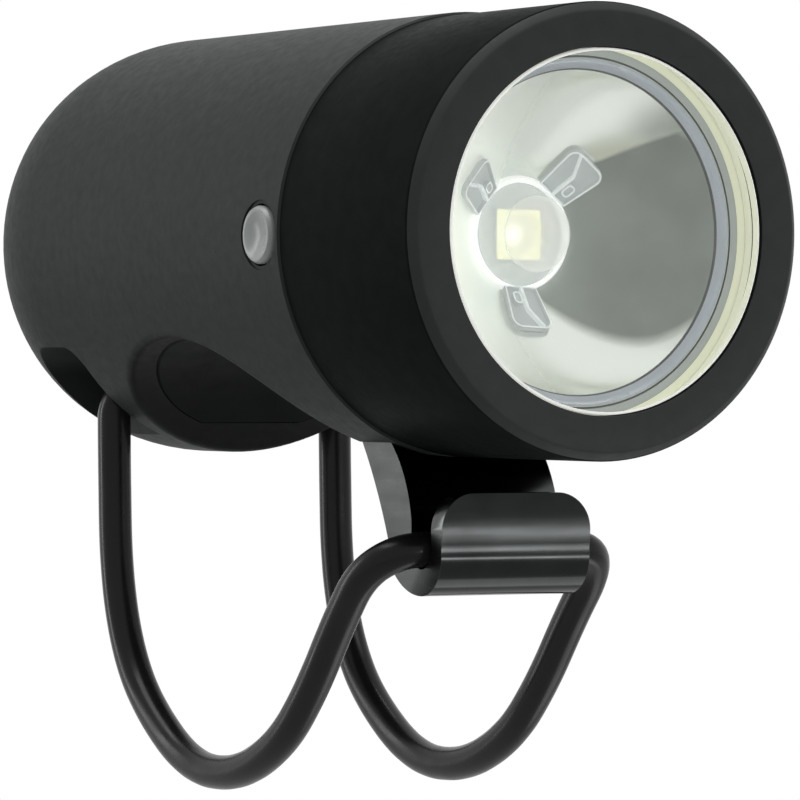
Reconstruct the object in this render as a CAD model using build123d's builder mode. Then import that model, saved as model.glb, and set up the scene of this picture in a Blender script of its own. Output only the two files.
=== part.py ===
from build123d import *
from math import pi, radians, sqrt, tan
import os

# A strap-on bicycle headlight, in millimetres, +Z up, with its front towards -Y.
# The origin is the axis of the handlebar that the saddle sits on, which runs along X.

# Handlebar and the clearances of the fits
bar_r = 15.9
bar_gap = 0.25
fit_gap = 0.1
slip_gap = 0.15
face_gap = 0.05
cut_over = 1.0

# Cell, which sets the size of the round casing
cell_r = 8.1
cell_height = 4.45
cell_front_room = 2.75
cell_back_room = 1.45
cell_edge = 0.6
cell_nub_r = 2.8
cell_nub_t = 0.5
foam_room = 0.89
foam_w = 8.0
foam_inset = 4.0
foam_gap = 0.1
cradle_floor_t = 1.1
cradle_half_w = 7.4
cradle_front_gap = 2.2
cradle_back_gap = 1.8
cradle_rail_rise = 4.1
tab_w = 4.0
tab_t = 0.2
tab_leg_len = 4.0

# Housing
wall = 1.75
rear_round_len = 8.7
rear_round_drop = 3.4
seam_chamfer = 0.15
seam_behind_ledge = 0.06
tail_len = 4.8
saddle_floor_t = 1.33
saddle_edge_round = 0.9

# Saddle pad
saddle_pad_t = 1.0
saddle_pad_proud = 0.14
saddle_pad_land = 1.6
saddle_pad_low_gap = 2.19

# Front bezel
bezel_step = 0.19
bezel_wall = 1.7
bezel_seat_wall = 2.05
rim_w = 3.18
lip_t = 1.0
rim_chamfer = 0.6
opening_chamfer = 0.25
seam_gap = 0.12

# Window stack, front to rear
gasket_t = 0.4
gasket_w = 0.8
window_t = 1.4
window_boss_inset = 0.35
boss_gap = 0.15
optic_gap = 0.2
flange_t = 1.0
flange_w = 1.55

# Collimator
optic_depth = 9.6
optic_tail_r = 3.3
bore_mouth_r = 2.55
bore_depth = 4.1
inner_lens_r = 2.3
inner_lens_rise = 1.0

# Holder cup and its clips
holder_wall = 0.7
holder_gap = 0.15
holder_rim_t = 1.2
clip_offset = 2.3
clip_len = 2.8
clip_w = 1.5
clip_slot = 0.6
clip_fan_w = 3.9
clip_fan_angle = 70
clip_angles = (-90, 45, 135)

# Emitter, its board and the heat sink
emitter_w = 3.45
emitter_t = 0.45
phosphor_w = 3.0
phosphor_t = 0.3
board_edge_gap = 0.6
board_t = 1.0
pad_t = 0.25
pad_screw_gap = 0.3
sink_t = 2.0
sink_boss_inset = 0.7
sink_boss_t = 1.4
board_screw_r = 0.8
board_screw_head_r = 1.4
board_screw_head_t = 0.9
board_screw_len = 2.6
board_screw_edge = 0.6
lead_notch_w = 4.6

# Neck of the housing, which the bezel screws on to
neck_wall = 1.3
neck_reach = 2.15
neck_end_gap = 0.4
ledge_t = 1.0
ledge_w = 1.3
seal_section_r = 0.42
seal_groove_w = 1.2
seal_to_seam = 1.3

# Side button and its switch
button_setback = 2.74
button_height = -0.1
button_r = 1.95
button_crown = 0.22
button_travel = 0.4
button_flange_r = 2.5
button_flange_t = 0.5
button_nib_r = 0.7
button_ring_w = 0.25
button_seal_t = 0.45

# Driver board, which stands on edge beside the cell
driver_inset = 3.54
driver_t = 0.8
driver_front_room = 0.95
driver_tail_room = 3.8
driver_edge_gap = 0.43
switch_w = 3.2
switch_t = 1.25
plunger_r = 0.8
plunger_out = 0.5
plunger_in = 0.35
status_led_len = 1.6
status_led_w = 0.9
status_led_t = 0.6
status_led_lead = 2.1
chip_w = 4.0
chip_t = 0.85
chip_chamfer = 0.2
inductor_w = 4.2
inductor_t = 1.9
inductor_round = 0.7
capacitor_len = 2.0
capacitor_w = 1.25
capacitor_t = 1.1
capacitor_pitch = 2.6
capacitor_count = 4
capacitor_drop = 3.0
driver_row_lead = 4.95
driver_row_pitch = 6.2
driver_row_height = 1.0

# Rear board and charging socket
charge_board_t = 0.8
charge_board_half_h = 4.0
charge_edge_gap = 0.38
charge_height = 2.0
socket_w = 8.94
socket_h = 3.26
socket_len = 5.65
socket_wall = 0.3
socket_recess = 1.45
socket_back_t = 0.6
tongue_w = 6.7
tongue_t = 0.7
tongue_inset = 0.8
charge_screw_inset = 1.5
charge_boss_r = 1.35
charge_boss_root = 0.6
charge_screw_r = 0.6
charge_screw_head_r = 1.1
charge_screw_head_t = 0.6
charge_screw_len = 3.0

# Flap over the charging socket
cover_w = 13.6
cover_h = 6.8
cover_t = 0.95
cover_gap = 0.15
cover_edge = 0.2
cover_lip_w = 8.2
cover_lip_h = 2.5
cover_lip_t = 0.45
tether_w = 5.0
tether_h = 1.6
nail_notch_w = 4.6
nail_notch_h = 2.0

# Silicone strap, a closed ring of round section, and where it crosses the housing
strap_d = 2.4
strap_x = 9.2
strap_bight_gap = 0.39
strap_bend_share = 0.45
tunnel_gap = 0.3
tunnel_setback_gap = 0.28
tunnel_under_floor = 4.45
pocket_in_gap = 1.9
pocket_front_gap = 0.35
pocket_back = 5.8
pocket_top_gap = 0.4
pocket_corner_r = 2.0

# Strap hook
hook_half_w = 5.81
hook_hang = 5.91
hook_front_wall = 1.04
hook_tuck = 2.36
lip_plate_t = 1.33
lip_rise = 3.84
lip_barrel = 0.12
lip_corner_r = 2.5
hook_floor_t = 1.8
hook_heel_back = 3.6
hook_heel_drop = 1.7
hook_back_bend_back = 5.6
hook_back_bend_rise = 3.2
hook_root_back = 7.95
hook_root_front = 4.05
hook_root_rise = 7.1
hook_front_bend_back = 2.15
hook_front_bend_rise = 4.6
hook_front_low_rise = 1.9
hook_edge = 0.3
hook_socket_lift = 0.4
hook_socket_flare = 2.2
hook_screw_x = 3.1
hook_screw_r = 1.0
hook_screw_head_r = 1.8
hook_screw_head_t = 1.1
hook_screw_len = 4.2
well_floor_inset = 5.79
well_floor_t = 1.1
well_side_gap = 1.3
well_back_gap = 0.35

# Wiring
lead_r = 0.4
lead_spacing = 1.6
lead_lap = 1.5
lead_tail = 1.5
lead_bend_r = 0.85
flex_w = 2.6
flex_t = 0.15
flex_height = -0.6
flex_lap = 3.0
flex_bend_r = 0.8

# Radii that follow: the bore goes round the cell, and the bezel round the window
bore_r = cell_height + cell_r + foam_room
body_r = bore_r + wall
bezel_r = body_r - bezel_step
opening_r = bezel_r - rim_w
seat_r = bezel_r - bezel_seat_wall
bezel_bore_r = bezel_r - bezel_wall
window_r = seat_r - fit_gap
flange_r = window_r - fit_gap
optic_mouth_r = flange_r - flange_w
clip_ring_r = optic_tail_r + clip_offset
neck_r = bezel_bore_r - fit_gap
neck_bore_r = neck_r - neck_wall
ledge_r = neck_bore_r - ledge_w
board_r = neck_bore_r - board_edge_gap
board_screw_ring_r = board_r - board_screw_head_r - board_screw_edge
pad_r = board_screw_ring_r - board_screw_r - pad_screw_gap
sink_boss_r = pad_r - sink_boss_inset
saddle_r = bar_r + bar_gap + saddle_pad_proud
pad_keep_r = body_r - saddle_pad_land
pad_floor_r = bar_r + bar_gap + saddle_pad_t
strap_r = strap_d / 2

# Depths that follow, counted back from the front rim
gasket_depth = lip_t
window_depth = gasket_depth + gasket_t
optic_front_depth = window_depth + window_t + optic_gap
optic_back_depth = optic_front_depth + optic_depth
holder_front_depth = optic_front_depth + flange_t + face_gap
board_depth = optic_back_depth + face_gap + fit_gap
emitter_depth = board_depth - emitter_t - phosphor_t
pad_depth = board_depth + board_t
sink_depth = pad_depth + pad_t
ledge_depth = sink_depth + sink_t
bore_start_depth = ledge_depth + ledge_t
neck_front_depth = board_depth - neck_reach
bezel_step_depth = neck_front_depth - neck_end_gap
seam_depth = bore_start_depth + seam_behind_ledge
button_depth = seam_depth + button_setback
trough_depth = seam_depth + hook_front_wall - hook_root_front
lamp_setback = trough_depth + hook_root_back + saddle_r - hook_tuck
tunnel_depth = lamp_setback + saddle_r + tunnel_setback_gap
pocket_front_depth = tunnel_depth - strap_r - pocket_front_gap
pocket_rear_depth = tunnel_depth + pocket_back
body_len = pocket_rear_depth + tail_len
rear_inner_depth = body_len - wall
charge_board_back = body_len - socket_recess - socket_len
charge_board_depth = charge_board_back - charge_board_t
cell_front_depth = bore_start_depth + cell_front_room
cell_back_depth = charge_board_depth - cell_back_room
cell_len = cell_back_depth - cell_front_depth
driver_front_depth = bore_start_depth + driver_front_room
driver_back_depth = cell_back_depth - driver_tail_room

# Heights that follow, counted from the lamp's axis
floor_height = cell_height - cell_r - cradle_floor_t
lamp_rise = pad_floor_r + face_gap + saddle_floor_t - floor_height
tunnel_height = floor_height - tunnel_under_floor
pocket_top_height = tunnel_height + strap_r + pocket_top_gap
well_floor_height = well_floor_inset - body_r
root_top = well_floor_height - well_floor_t
trough_height = -body_r - hook_hang
driver_low = floor_height + face_gap
cover_top_height = charge_height + cover_h / 2

# Places that follow, across the lamp
driver_x = driver_inset - bore_r
driver_out_x = driver_x - driver_t
driver_high = sqrt((bore_r - driver_edge_gap) ** 2 - driver_out_x**2)
button_flange_x = -sqrt(bore_r**2 - button_flange_r**2) + face_gap
lead_x = driver_x + face_gap + lead_r
lead_notch_in_r = -lead_x - lead_bend_r
charge_board_top = charge_height + charge_board_half_h
charge_board_half_w = sqrt((bore_r - charge_edge_gap) ** 2 - charge_board_top**2)
charge_screw_x = charge_board_half_w - charge_screw_inset
charge_screw_spots = [(-charge_screw_x, charge_height), (charge_screw_x, charge_height)]
pocket_in_x = strap_x - strap_r - pocket_in_gap
strap_bight_x = hook_half_w + strap_r + strap_bight_gap

# Planes and axes of the lamp
axial = Plane(origin=(0, -lamp_setback, lamp_rise))
lamp_axis = Axis((0, -lamp_setback, lamp_rise), (0, 1, 0))
side = Plane(origin=(0, -lamp_setback, lamp_rise), x_dir=(0, 1, 0), z_dir=(1, 0, 0))


def station(depth):
    """The plane square to the lamp axis at a depth behind the rim, facing the rear."""
    origin = (0, -lamp_setback + depth, lamp_rise)
    return Plane(origin=origin, x_dir=(-1, 0, 0), z_dir=(0, 1, 0))


def level(height):
    """The level plane at a height above the lamp axis."""
    return axial.offset(height)


os.makedirs("parts", exist_ok=True)

# Cavity of the housing: a round bore with a flat floor over the saddle
with BuildPart() as cell_bay:
    with BuildSketch(axial):
        with BuildLine():
            Line((0, bore_start_depth), (bore_r, bore_start_depth))
            Line((bore_r, bore_start_depth), (bore_r, body_len - rear_round_len))
            EllipticalCenterArc(
                (bore_r - rear_round_drop, body_len - rear_round_len),
                rear_round_drop,
                rear_round_len - wall,
                start_angle=0,
                arc_size=90,
            )
            Line((bore_r - rear_round_drop, rear_inner_depth), (0, rear_inner_depth))
            Line((0, rear_inner_depth), (0, bore_start_depth))
        make_face()
    revolve(axis=lamp_axis)
    split(bisect_by=level(floor_height), keep=Keep.TOP)

# Pocket in each side at the rear, where the strap leaves the housing
pocket_len = pocket_rear_depth - pocket_front_depth
with BuildPart() as side_pocket:
    with BuildSketch(side.offset(pocket_in_x)):
        with Locations(((pocket_front_depth + pocket_rear_depth) / 2, -body_r)):
            pocket_h = 2 * (body_r + pocket_top_height)
            RectangleRounded(pocket_len, pocket_h, pocket_corner_r)
    extrude(amount=body_r)
    mirror(about=Plane.YZ)


def pad_shell(inner_r, outer_r, keep_r, low_height):
    """A curved slab round the handlebar, trimmed to the underside of the casing."""
    with BuildPart() as slab:
        with BuildSketch(Plane.YZ):
            Circle(outer_r)
            Circle(inner_r, mode=Mode.SUBTRACT)
        extrude(amount=body_r, both=True)
        split(bisect_by=level(low_height), keep=Keep.TOP)
        with BuildSketch(station(0)):
            Circle(keep_r)
        extrude(amount=body_len, mode=Mode.INTERSECT)
    return slab.part


pad_low_height = saddle_pad_low_gap - body_r
pad_slab = pad_shell(bar_r + bar_gap, pad_floor_r, pad_keep_r, pad_low_height)
pad_recess = pad_shell(
    bar_r, pad_floor_r + face_gap, pad_keep_r + face_gap, pad_low_height - face_gap
)

# Moulded rear housing, with the well and socket for the hook's root
root_mid = trough_depth + (hook_root_front + hook_root_back) / 2
root_low = trough_height + hook_root_rise
hook_screw_spots = [(-hook_screw_x, root_mid), (hook_screw_x, root_mid)]
socket_front = trough_depth + hook_root_front - fit_gap
socket_back = trough_depth + hook_root_back + fit_gap
socket_top = root_top + fit_gap
socket_step = root_low + hook_socket_lift
socket_low = -body_r - cut_over
well_half_w = hook_screw_x + hook_screw_head_r + well_side_gap
well_len = root_mid + hook_screw_head_r + well_back_gap - ledge_depth
with BuildPart() as rear_housing:
    with BuildSketch(axial):
        with BuildLine():
            Polyline(
                (0, neck_front_depth),
                (neck_r, neck_front_depth),
                (neck_r, seam_depth),
                (body_r - seam_chamfer, seam_depth),
                (body_r, seam_depth + seam_chamfer),
                (body_r, body_len - rear_round_len),
            )
            EllipticalCenterArc(
                (body_r - rear_round_drop, body_len - rear_round_len),
                rear_round_drop,
                rear_round_len,
                start_angle=0,
                arc_size=90,
            )
            Line((body_r - rear_round_drop, body_len), (0, body_len))
            Line((0, body_len), (0, neck_front_depth))
        make_face()
    revolve(axis=lamp_axis)
    # saddle for the bar, with a soft edge
    with BuildSketch(Plane.YZ):
        Circle(saddle_r)
    extrude(amount=body_r + cut_over, both=True, mode=Mode.SUBTRACT)
    saddle_face = rear_housing.faces().filter_by(GeomType.CYLINDER).sort_by(Axis.Z)[0]
    fillet(saddle_face.edges(), radius=saddle_edge_round)
    add(side_pocket.part, mode=Mode.SUBTRACT)
    # tunnel that the strap crosses in
    with BuildSketch(side):
        with Locations((tunnel_depth, tunnel_height)):
            Circle(strap_r + tunnel_gap)
    extrude(amount=pocket_in_x + cut_over, both=True, mode=Mode.SUBTRACT)
    # recess for the pad
    add(pad_recess, mode=Mode.SUBTRACT)
    # inside of the housing
    add(cell_bay.part, mode=Mode.SUBTRACT)
    with BuildSketch(station(neck_front_depth)):
        Circle(neck_bore_r)
    extrude(amount=ledge_depth - neck_front_depth, mode=Mode.SUBTRACT)
    with BuildSketch(station(ledge_depth)):
        Circle(ledge_r)
    extrude(amount=ledge_t + cut_over, mode=Mode.SUBTRACT)
    # well over the hook's socket, for its screws
    with BuildSketch(level(well_floor_height)):
        with Locations((0, ledge_depth)):
            Rectangle(2 * well_half_w, well_len, align=(Align.CENTER, Align.MIN))
    extrude(amount=floor_height - well_floor_height + cut_over, mode=Mode.SUBTRACT)
    # groove for the seal round the neck
    with BuildSketch(axial):
        with Locations((neck_r, seam_depth - seal_to_seam)):
            Rectangle(2 * (2 * seal_section_r + 2 * face_gap - fit_gap), seal_groove_w)
    revolve(axis=lamp_axis, mode=Mode.SUBTRACT)
    # socket that the hook's root fits, open behind it where the saddle wall thins out
    with BuildSketch(side):
        with BuildLine():
            Polyline(
                (socket_front, socket_top),
                (socket_front, root_low),
                (socket_front - hook_socket_flare, socket_low),
                (lamp_setback, socket_low),
                (lamp_setback, socket_step),
                (socket_back, socket_step),
                (socket_back, socket_top),
                close=True,
            )
        make_face()
    extrude(amount=hook_half_w + fit_gap, both=True, mode=Mode.SUBTRACT)
    with BuildSketch(level(well_floor_height + cut_over)):
        with Locations(*hook_screw_spots):
            Circle(hook_screw_r + slip_gap)
    extrude(amount=-wall - cut_over, mode=Mode.SUBTRACT)
    # button hole, the dark ring round it and the seat of its seal
    button_spot = (button_depth, button_height)
    with BuildSketch(side.offset(-body_r - cut_over)):
        with Locations(button_spot):
            Circle(button_r + slip_gap)
    extrude(amount=wall + 2 * cut_over, mode=Mode.SUBTRACT)
    with BuildSketch(side.offset(-body_r - cut_over)):
        with Locations(button_spot):
            Circle(button_r + slip_gap + button_ring_w)
    extrude(amount=cut_over + button_ring_w, mode=Mode.SUBTRACT)
    with BuildSketch(side.offset(button_flange_x - button_seal_t - face_gap)):
        with Locations(button_spot):
            Circle(button_flange_r + fit_gap)
    extrude(amount=wall + cut_over, mode=Mode.SUBTRACT)
    # bosses for the rear board, and the openings in the rear wall
    with BuildSketch(station(charge_board_back)):
        with Locations(*charge_screw_spots):
            Circle(charge_boss_r)
    extrude(amount=rear_inner_depth - charge_board_back + charge_boss_root)
    with BuildSketch(station(body_len - cover_t - face_gap)):
        with Locations((0, charge_height)):
            SlotOverall(cover_w, cover_h)
        with Locations((0, cover_top_height + tether_h / 2)):
            Rectangle(tether_w + 2 * face_gap, tether_h + 2 * face_gap)
        with Locations((0, charge_height - cover_h / 2)):
            SlotOverall(nail_notch_w, nail_notch_h)
    extrude(amount=cover_t + cut_over, mode=Mode.SUBTRACT)
    with BuildSketch(station(rear_inner_depth - cut_over)):
        with Locations((0, charge_height)):
            SlotOverall(socket_w + 2 * slip_gap, socket_h + 2 * slip_gap)
    extrude(amount=wall + cut_over, mode=Mode.SUBTRACT)
    with BuildSketch(station(charge_board_depth)):
        with Locations(*charge_screw_spots):
            Circle(charge_screw_r + face_gap)
    extrude(amount=charge_screw_len, mode=Mode.SUBTRACT)

rear_housing.part.label = "rear_housing"
export_step(rear_housing.part, "parts/rear_housing.step")

# Front bezel
with BuildPart() as front_bezel:
    with BuildSketch(axial):
        with BuildLine():
            Polyline(
                (opening_r + opening_chamfer, 0),
                (bezel_r - rim_chamfer, 0),
                (bezel_r, rim_chamfer),
                (bezel_r, seam_depth - seam_gap - seam_chamfer),
                (bezel_r - seam_chamfer, seam_depth - seam_gap),
                (bezel_bore_r, seam_depth - seam_gap),
                (bezel_bore_r, bezel_step_depth),
                (seat_r, bezel_step_depth),
                (seat_r, lip_t),
                (opening_r, lip_t),
                (opening_r, opening_chamfer),
                close=True,
            )
        make_face()
    revolve(axis=lamp_axis)

front_bezel.part.label = "front_bezel"
export_step(front_bezel.part, "parts/front_bezel.step")

# Seal ring in the groove round the neck
seal_ring_r = bezel_bore_r - face_gap - seal_section_r
with BuildPart() as bezel_seal:
    with BuildSketch(axial):
        with Locations((seal_ring_r, seam_depth - seal_to_seam)):
            Circle(seal_section_r)
    revolve(axis=lamp_axis)

bezel_seal.part.label = "bezel_seal"
export_step(bezel_seal.part, "parts/bezel_seal.step")

# Seal ring between the bezel's lip and the window
with BuildPart() as window_gasket:
    with BuildSketch(station(gasket_depth)):
        Circle(seat_r - slip_gap)
        Circle(seat_r - slip_gap - gasket_w, mode=Mode.SUBTRACT)
    extrude(amount=gasket_t)

window_gasket.part.label = "window_gasket"
export_step(window_gasket.part, "parts/window_gasket.step")

# Stepped clear window, whose boss stands nearly flush in the opening
window_boss_r = opening_r - boss_gap
with BuildPart() as front_window:
    with BuildSketch(station(window_depth)):
        Circle(window_r)
    extrude(amount=window_t)
    with BuildSketch(station(window_boss_inset)):
        Circle(window_boss_r)
    extrude(amount=window_depth - window_boss_inset)

front_window.part.label = "front_window"
export_step(front_window.part, "parts/front_window.step")

# Clear collimator: a curved cone with a stepped bore and a small lens at its bottom
optic_belly_r = sqrt((optic_mouth_r**2 + optic_tail_r**2) / 2)
optic_cone_depth = optic_front_depth + flange_t
optic_belly_depth = (optic_cone_depth + optic_back_depth) / 2
lens_edge_depth = optic_back_depth - bore_depth
lens_sphere_r = (inner_lens_r**2 + inner_lens_rise**2) / (2 * inner_lens_rise)
lens_mid_r = inner_lens_r / 2
lens_mid_rise = inner_lens_rise - lens_sphere_r + sqrt(lens_sphere_r**2 - lens_mid_r**2)
with BuildPart() as collimator:
    with BuildSketch(axial):
        with BuildLine():
            Polyline(
                (0, optic_front_depth),
                (flange_r, optic_front_depth),
                (flange_r, optic_cone_depth),
                (optic_mouth_r, optic_cone_depth),
            )
            ThreePointArc(
                (optic_mouth_r, optic_cone_depth),
                (optic_belly_r, optic_belly_depth),
                (optic_tail_r, optic_back_depth),
            )
            Polyline(
                (optic_tail_r, optic_back_depth),
                (bore_mouth_r, optic_back_depth),
                (inner_lens_r, lens_edge_depth),
            )
            ThreePointArc(
                (inner_lens_r, lens_edge_depth),
                (lens_mid_r, lens_edge_depth + lens_mid_rise),
                (0, lens_edge_depth + inner_lens_rise),
            )
            Line((0, lens_edge_depth + inner_lens_rise), (0, optic_front_depth))
        make_face()
    revolve(axis=lamp_axis)

collimator.part.label = "collimator"
export_step(collimator.part, "parts/collimator.step")

# Holder cup that carries the collimator and stands on the emitter board
cup_in = holder_gap
cup_out = holder_gap + holder_wall
holder_r = seat_r - fit_gap
with BuildPart() as optic_holder:
    with BuildSketch(axial):
        with BuildLine():
            ThreePointArc(
                (optic_mouth_r + cup_in, holder_front_depth),
                (optic_belly_r + cup_in, optic_belly_depth),
                (optic_tail_r + cup_in, optic_back_depth),
            )
            Polyline(
                (optic_tail_r + cup_in, optic_back_depth),
                (optic_tail_r + cup_in, board_depth),
                (optic_tail_r + cup_out, board_depth),
                (optic_tail_r + cup_out, optic_back_depth),
            )
            ThreePointArc(
                (optic_tail_r + cup_out, optic_back_depth),
                (optic_belly_r + cup_out, optic_belly_depth),
                (optic_mouth_r + cup_out, holder_front_depth + holder_rim_t),
            )
            Polyline(
                (optic_mouth_r + cup_out, holder_front_depth + holder_rim_t),
                (holder_r, holder_front_depth + holder_rim_t),
                (holder_r, holder_front_depth),
                (optic_mouth_r + cup_in, holder_front_depth),
            )
        make_face()
    revolve(axis=lamp_axis)
    # clip tongues, each in a fan-shaped opening that leaves it joined at its outer end
    with BuildSketch(station(optic_belly_depth)):
        for clip_angle in clip_angles:
            with Locations(Location((0, 0, 0), (0, 0, clip_angle))):
                with Locations((clip_ring_r, 0)):
                    Trapezoid(clip_fan_w, clip_len, clip_fan_angle, rotation=90)
                with Locations((clip_ring_r + clip_slot, 0)):
                    Rectangle(clip_len, clip_w, mode=Mode.SUBTRACT)
    extrude(amount=board_depth - optic_belly_depth, mode=Mode.SUBTRACT)

optic_holder.part.label = "optic_holder"
export_step(optic_holder.part, "parts/optic_holder.step")

# Emitter package with its phosphor square
with BuildPart() as led_emitter:
    with BuildSketch(station(board_depth - emitter_t)):
        Rectangle(emitter_w, emitter_w)
    extrude(amount=emitter_t)
    with BuildSketch(station(emitter_depth)):
        Rectangle(phosphor_w, phosphor_w)
    extrude(amount=phosphor_t)

led_emitter.part.label = "led_emitter"
export_step(led_emitter.part, "parts/led_emitter.step")

# Clear dome on the phosphor
dome_r = phosphor_w / 2
with BuildPart() as led_dome:
    with BuildSketch(axial):
        with Locations((0, emitter_depth)):
            Circle(dome_r)
            Rectangle(2 * dome_r, dome_r, align=(Align.CENTER, Align.MIN), mode=Mode.SUBTRACT)
            Rectangle(dome_r, 2 * dome_r, align=(Align.MAX, Align.CENTER), mode=Mode.SUBTRACT)
    revolve(axis=lamp_axis)

led_dome.part.label = "led_dome"
export_step(led_dome.part, "parts/led_dome.step")

# Screws that hold the emitter board on the heat sink, one above and one below
board_screw_spots = [(0, board_screw_ring_r), (0, -board_screw_ring_r)]
with BuildPart() as led_board_screws:
    with BuildSketch(station(board_depth - board_screw_head_t)):
        with Locations(*board_screw_spots):
            Circle(board_screw_head_r)
    extrude(amount=board_screw_head_t)
    with BuildSketch(station(board_depth)):
        with Locations(*board_screw_spots):
            Circle(board_screw_r)
    extrude(amount=board_screw_len)

led_board_screws.part.label = "led_board_screws"
export_step(led_board_screws.part, "parts/led_board_screws.step")


def lead_notch(outer_r, overlap):
    """The notch at the edge of a disc that the emitter's leads pass through."""
    notch_len = outer_r - lead_notch_in_r + overlap
    with Locations((lead_notch_in_r + notch_len / 2, 0)):
        Rectangle(notch_len, lead_notch_w, mode=Mode.SUBTRACT)


# Emitter board
with BuildPart() as led_board:
    with BuildSketch(station(board_depth)):
        Circle(board_r)
        with Locations(*board_screw_spots):
            Circle(board_screw_r + face_gap, mode=Mode.SUBTRACT)
        lead_notch(board_r, cut_over)
    extrude(amount=board_t)

led_board.part.label = "led_board"
export_step(led_board.part, "parts/led_board.step")

# Thermal pad under the board
with BuildPart() as thermal_pad:
    with BuildSketch(station(pad_depth)):
        Circle(pad_r)
        with Locations(*board_screw_spots):
            Circle(board_screw_r + face_gap, mode=Mode.SUBTRACT)
    extrude(amount=pad_t)

thermal_pad.part.label = "thermal_pad"
export_step(thermal_pad.part, "parts/thermal_pad.step")

# Heat sink, which the stack clamps against the ledge in the neck
sink_r = neck_bore_r - fit_gap
with BuildPart() as heat_sink:
    with BuildSketch(station(sink_depth)):
        Circle(sink_r)
        lead_notch(sink_r, cut_over)
    extrude(amount=sink_t)
    with BuildSketch(station(ledge_depth)):
        Circle(sink_boss_r)
    extrude(amount=sink_boss_t)
    with BuildSketch(station(sink_depth)):
        with Locations(*board_screw_spots):
            Circle(board_screw_r + face_gap)
    extrude(amount=sink_t, mode=Mode.SUBTRACT)

heat_sink.part.label = "heat_sink"
export_step(heat_sink.part, "parts/heat_sink.step")

# Lithium cell with its raised contact at the front
with BuildPart() as battery_cell:
    with BuildSketch(station(cell_front_depth)):
        with Locations((0, cell_height)):
            Circle(cell_r)
    extrude(amount=cell_len)
    fillet(battery_cell.edges().filter_by(GeomType.CIRCLE), radius=cell_edge)
    with BuildSketch(station(cell_front_depth - cell_nub_t)):
        with Locations((0, cell_height)):
            Circle(cell_nub_r)
    extrude(amount=cell_nub_t)

battery_cell.part.label = "battery_cell"
export_step(battery_cell.part, "parts/battery_cell.step")

# Welded strips from both ends of the cell to the driver board
front_tab_depth = cell_front_depth - cell_nub_t - tab_t
tab_out_x = driver_x + face_gap
tab_in_x = cell_nub_r / 2
with BuildPart() as battery_tabs:
    with BuildSketch(level(cell_height - tab_w / 2)):
        with Locations((tab_in_x, front_tab_depth)):
            Rectangle(tab_in_x - tab_out_x, tab_t, align=(Align.MAX, Align.MIN))
        with Locations((tab_out_x, front_tab_depth)):
            Rectangle(tab_t, tab_leg_len, align=(Align.MIN, Align.MIN))
        with Locations((tab_in_x, cell_back_depth)):
            Rectangle(tab_in_x - tab_out_x, tab_t, align=(Align.MAX, Align.MIN))
        with Locations((tab_out_x, cell_back_depth + tab_t)):
            Rectangle(tab_t, 2 * tab_leg_len, align=(Align.MIN, Align.MAX))
    extrude(amount=tab_w)

battery_tabs.part.label = "battery_tabs"
export_step(battery_tabs.part, "parts/battery_tabs.step")

# Cradle that the cell lies in, on the floor over the saddle
with BuildPart() as battery_cradle:
    with BuildSketch(station(cell_front_depth + cradle_front_gap)):
        with Locations((0, floor_height + face_gap)):
            Rectangle(
                2 * cradle_half_w, cradle_rail_rise, align=(Align.CENTER, Align.MIN)
            )
        with Locations((0, cell_height)):
            Circle(cell_r + fit_gap, mode=Mode.SUBTRACT)
    extrude(amount=cell_len - cradle_front_gap - cradle_back_gap)

battery_cradle.part.label = "battery_cradle"
export_step(battery_cradle.part, "parts/battery_cradle.step")

# Foam strip between the top of the cell and the housing
with BuildPart() as cell_foam:
    with BuildSketch(station(cell_front_depth + foam_inset)):
        Circle(bore_r - foam_gap)
        Rectangle(foam_w, body_r, align=(Align.CENTER, Align.MIN), mode=Mode.INTERSECT)
        with Locations((0, cell_height)):
            Circle(cell_r + foam_gap, mode=Mode.SUBTRACT)
            Rectangle(foam_w, 2 * cell_r, align=(Align.CENTER, Align.MAX), mode=Mode.SUBTRACT)
    extrude(amount=cell_len - 2 * foam_inset)

cell_foam.part.label = "cell_foam"
export_step(cell_foam.part, "parts/cell_foam.step")

# Driver board on edge beside the cell
driver_len = driver_back_depth - driver_front_depth
driver_h = driver_high - driver_low
with BuildPart() as driver_board:
    with BuildSketch(side.offset(driver_x)):
        with Locations((driver_front_depth, driver_low)):
            Rectangle(driver_len, driver_h, align=(Align.MIN, Align.MIN))
    extrude(amount=-driver_t)

driver_board.part.label = "driver_board"
export_step(driver_board.part, "parts/driver_board.step")

# Parts on the outer face of the driver board
status_led_depth = button_depth + switch_w / 2 + status_led_lead
row_start = status_led_depth + driver_row_lead
with BuildPart() as inductor:
    with BuildSketch(side.offset(driver_out_x)):
        with Locations((row_start, driver_row_height)):
            RectangleRounded(inductor_w, inductor_w, inductor_round)
    extrude(amount=-inductor_t)

inductor.part.label = "inductor"
export_step(inductor.part, "parts/inductor.step")

with BuildPart() as controller_chip:
    with BuildSketch(side.offset(driver_out_x)):
        with Locations((row_start + driver_row_pitch, driver_row_height)):
            Rectangle(chip_w, chip_w)
    extrude(amount=-chip_t)
    chamfer(controller_chip.faces().sort_by(Axis.X)[0].edges(), length=chip_chamfer)

controller_chip.part.label = "controller_chip"
export_step(controller_chip.part, "parts/controller_chip.step")

with BuildPart() as capacitors:
    with BuildSketch(side.offset(driver_out_x)):
        with Locations((row_start + driver_row_pitch / 2, driver_row_height - capacitor_drop)):
            with GridLocations(capacitor_pitch, capacitor_pitch, capacitor_count, 1):
                Rectangle(capacitor_len, capacitor_w)
    extrude(amount=-capacitor_t)

capacitors.part.label = "capacitors"
export_step(capacitors.part, "parts/capacitors.step")

with BuildPart() as status_led:
    with BuildSketch(side.offset(driver_out_x)):
        with Locations((status_led_depth, button_height)):
            Rectangle(status_led_w, status_led_len)
    extrude(amount=-status_led_t)

status_led.part.label = "status_led"
export_step(status_led.part, "parts/status_led.step")

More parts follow.
